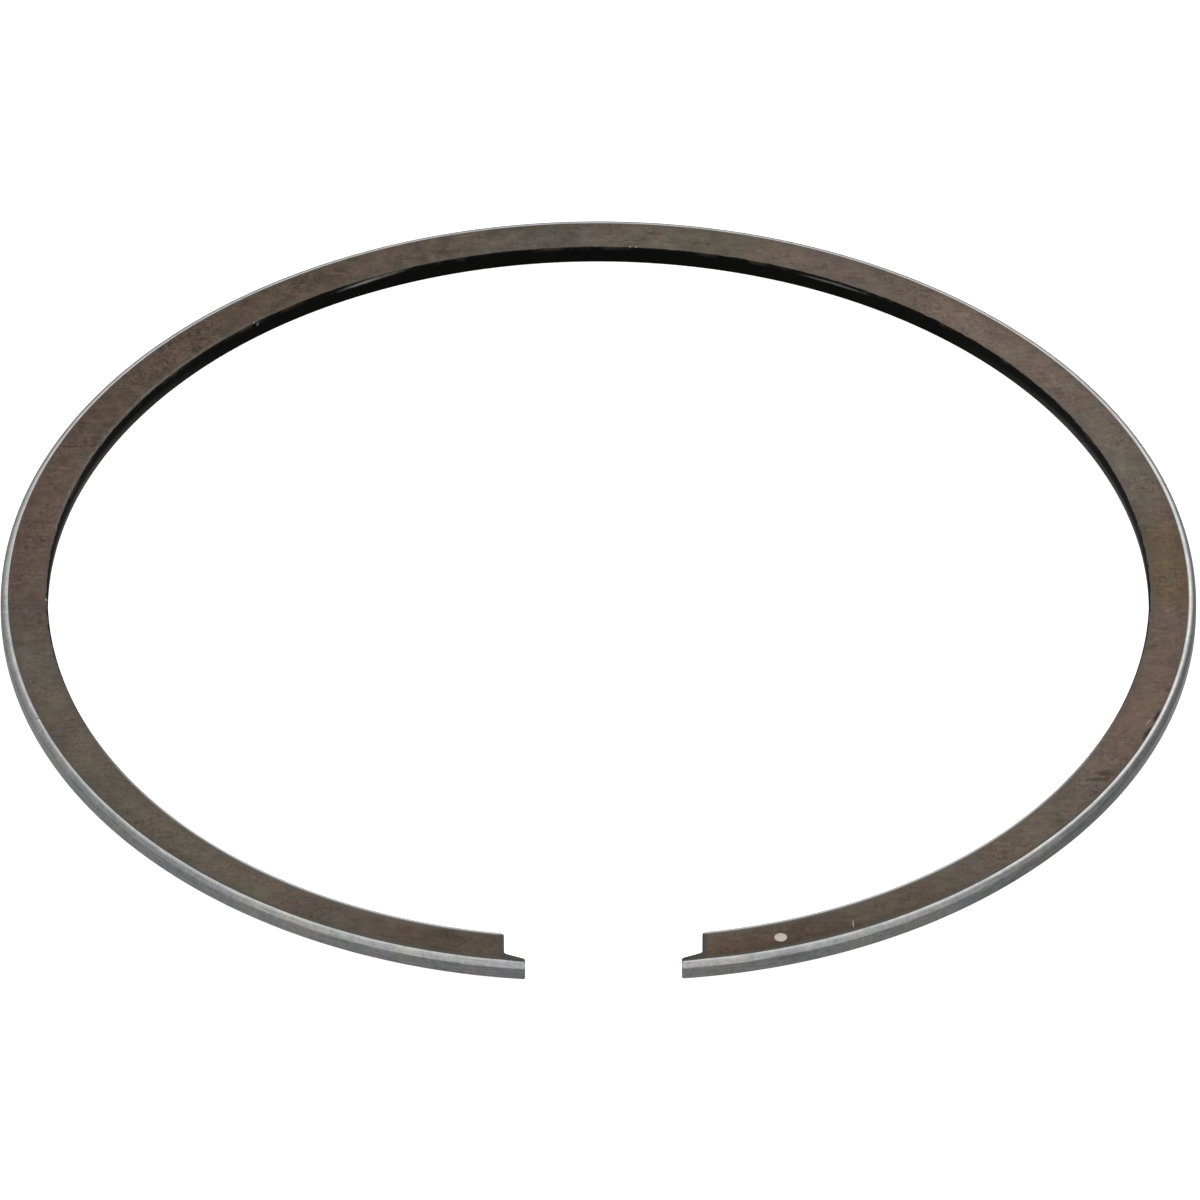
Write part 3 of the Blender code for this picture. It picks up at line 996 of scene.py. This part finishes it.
def dot_finish(settings, groups):
    """Bare, etched steel in the dot."""
    material, graph, place, _ = new_material("etched_dot")
    patches = graph.group(groups["mottle"], {"Place": place, "Patch Size": 0.8})["Patches"]
    return finished(material, {
        "Base Color": graph.scaled(settings.finish.etched_steel, swayed(graph, 1.0, (patches, 0.4))),
        "Roughness": graph.ramp(patches, 0.3, 0.7, 0.55, 0.7),
        "Metallic": 0.2})


def evaluated_mesh(piece):
    bpy.context.view_layer.update()
    depsgraph = bpy.context.evaluated_depsgraph_get()
    return bpy.data.meshes.new_from_object(piece.evaluated_get(depsgraph))


class PISTONRING_OT_add_ring(bpy.types.Operator):
    """Add the sprung-open ring with its coat, ground edge, notched tips and dot"""

    bl_idname = "piston_ring.add_ring"
    bl_label = "Add Ring"

    def execute(self, context):
        settings = context.scene.piston_ring
        sizes = settings.sizes
        groups = shared_groups()
        finishes = {
            FLAT_SIDE: flat_side_finish(settings, groups),
            RUNNING_SIDE: running_side_finish(settings, groups),
            INNER_SIDE: inner_side_finish(settings, groups),
            TIP_SIDE: tip_side_finish(settings, groups),
            DOT_SIDE: dot_finish(settings, groups),
        }
        springing, stations = sprung_line(sizes)
        cutters = {"Tip Cutter": tip_cutter(sizes, stations), "Dot Cutter": dot_cutter(sizes, stations)}
        ring = add_object("ring_body", bpy.data.meshes.new("ring_body"))
        modifier = ring.modifiers.new("sprung_ring", "NODES")
        modifier.node_group = sprung_ring_tree(finishes)
        set_inputs(modifier, {
            "Bore Diameter": sizes.bore_diameter, "Radial Wall": sizes.radial_wall,
            "Height": sizes.height, "Fitted Gap": sizes.fitted_gap, "Springing": springing,
            "Upper Running Radius": sizes.upper_running_radius,
            "Lower Running Radius": sizes.lower_running_radius,
            "Inner Edge Radius": sizes.inner_edge_radius, "Stations": sizes.stations, **cutters})
        mesh = evaluated_mesh(ring)
        ring.modifiers.remove(modifier)
        ring.data = mesh
        ring.data.set_sharp_from_angle(angle=SHARP_ANGLE)
        for cutter in cutters.values():
            bpy.data.objects.remove(cutter, do_unlink=True)
        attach(ring, "root")
        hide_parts("piston_ring")
        return {"FINISHED"}


def add_floor(stage):
    """Plain pale floor that fills the view, seen by the camera and not by the steel."""
    material = bpy.data.materials.new("pale_floor")
    material.use_nodes = True
    bm = bmesh.new()
    bmesh.ops.create_grid(bm, x_segments=1, y_segments=1, size=stage.floor_size / 2)
    floor = add_mesh_object("floor", bm)
    floor.data.materials.append(finished(material, {
        "Base Color": (stage.floor_tone, stage.floor_tone, stage.floor_tone), "Roughness": 0.9,
        "Specular IOR Level": 0.0, "Emission Color": WHITE, "Emission Strength": stage.floor_glow}))
    floor.location.z = -FLOOR_DROP
    floor.visible_glossy = False
    floor.visible_diffuse = False


def add_sky():
    """Soft studio light: a wide panel from the front, overhead, to the back, and dull sides."""
    world = bpy.data.worlds.new("soft_studio")
    bpy.context.scene.world = world
    world.use_nodes = True
    world.node_tree.nodes.clear()
    graph = Graph(world.node_tree)
    x, y, z = graph.parts(graph.node("ShaderNodeTexCoord").outputs["Generated"])
    leftwards = graph.times(x, -1.0)
    in_front = graph.ramp(y, -0.05, -0.55)
    behind = graph.ramp(y, -0.3, 0.3)
    spread = graph.ramp(graph.unsigned(x), graph.blend(in_front, 0.30, 0.0),
                        graph.blend(in_front, 0.81, 1.60), 1.0, 0.0)
    rise = graph.ramp(z, graph.blend(behind, -0.10, 0.05), graph.blend(behind, 0.36, 0.60))
    left_glow = graph.ramp(leftwards, 0.3, 0.7, 0.0, 0.041)
    right_loss = graph.times(graph.ramp(x, 0.5, 0.8), graph.ramp(y, -0.4, 0.1, 0.0, 0.101))
    ground = graph.minus(graph.plus(left_glow, 0.340), right_loss)
    right_shade = graph.times(graph.ramp(x, 0.3, 0.8), graph.ramp(y, -0.1, 0.3, 0.0, 0.136))
    sides = graph.minus(graph.math("MULTIPLY_ADD", x, -0.062, 0.480), right_shade)
    low = graph.blend(graph.ramp(z, -0.05, 0.05), ground, sides)
    right_gain = graph.times(graph.ramp(x, 0.05, 0.35), graph.ramp(y, 0.25, 0.78, 0.0, 0.80))
    left_loss = graph.times(graph.ramp(leftwards, 0.1, 0.35), graph.ramp(y, -0.1, 0.2, 0.0, 0.10))
    high = graph.minus(graph.plus(graph.ramp(y, 0.02, 0.20, 0.97, 1.27), right_gain), left_loss)
    panel = graph.times(rise, spread)
    lit = graph.made("ShaderNodeBackground", {
        "Color": graph.mix(panel, WHITE, WARM_WHITE), "Strength": graph.blend(panel, low, high)})
    seen = graph.made("ShaderNodeBackground", {"Color": WHITE, "Strength": 1.1})
    camera_ray = graph.node("ShaderNodeLightPath").outputs["Is Camera Ray"]
    shown = graph.made("ShaderNodeMixShader", {0: camera_ray, 1: lit, 2: seen})
    graph.node("ShaderNodeOutputWorld", {"Surface": shown})


def add_camera(stage):
    """Camera at the photograph's place, on a long lens."""
    back = Vector((0.0, -math.cos(stage.elevation), math.sin(stage.elevation)))
    right = Vector((1.0, 0.0, 0.0))
    facing = Matrix((right, back.cross(right), back)).transposed()
    aim = (Matrix.Rotation(stage.aim_yaw, 3, "Y").transposed()
           @ Matrix.Rotation(stage.aim_pitch, 3, "X").transposed()
           @ Matrix.Rotation(stage.roll, 3, "Z").transposed())
    round_ring = Matrix.Rotation(-stage.azimuth, 3, "Z")
    data = bpy.data.cameras.new("photo_camera")
    data.sensor_width = PHOTO_SENSOR
    data.lens = stage.lens
    data.clip_start = 0.01
    data.clip_end = 50.0
    camera = add_object("photo_camera", data)
    place = round_ring @ (back * stage.distance)
    camera.matrix_world = Matrix.Translation(place) @ (round_ring @ facing @ aim).to_4x4()
    bpy.context.scene.camera = camera


class PISTONRING_OT_add_stage(bpy.types.Operator):
    """Add the pale floor, the soft studio light and the camera"""

    bl_idname = "piston_ring.add_stage"
    bl_label = "Add Stage"

    def execute(self, context):
        stage = context.scene.piston_ring.stage
        add_floor(stage)
        add_sky()
        add_camera(stage)
        context.scene.view_settings.view_transform = "Standard"
        return {"FINISHED"}


class PISTONRING_PT_panel(bpy.types.Panel):
    """Buttons that add the ring and its stage, with their sizes and colours"""

    bl_label = "Piston Ring"
    bl_idname = "PISTONRING_PT_panel"
    bl_space_type = "VIEW_3D"
    bl_region_type = "UI"
    bl_category = "Piston Ring"

    def draw(self, context):
        settings = context.scene.piston_ring
        for operator in (PISTONRING_OT_add_ring, PISTONRING_OT_add_stage):
            self.layout.operator(operator.bl_idname)
        groups = {"Sizes": settings.sizes, "Finish": settings.finish, "Stage": settings.stage}
        for title, group in groups.items():
            box = self.layout.box()
            box.label(text=title)
            for name in group.__annotations__:
                box.prop(group, name)


CLASSES = (
    RingSizes,
    RingFinish,
    StageSettings,
    PistonRingSettings,
    PISTONRING_OT_add_ring,
    PISTONRING_OT_add_stage,
    PISTONRING_PT_panel,
)


def register():
    for cls in CLASSES:
        bpy.utils.register_class(cls)
    bpy.types.Scene.piston_ring = PointerProperty(type=PistonRingSettings)


def unregister():
    del bpy.types.Scene.piston_ring
    for cls in reversed(CLASSES):
        bpy.utils.unregister_class(cls)


def main():
    register()
    bpy.ops.piston_ring.add_ring()
    bpy.ops.piston_ring.add_stage()


if __name__ == "__main__":
    main()
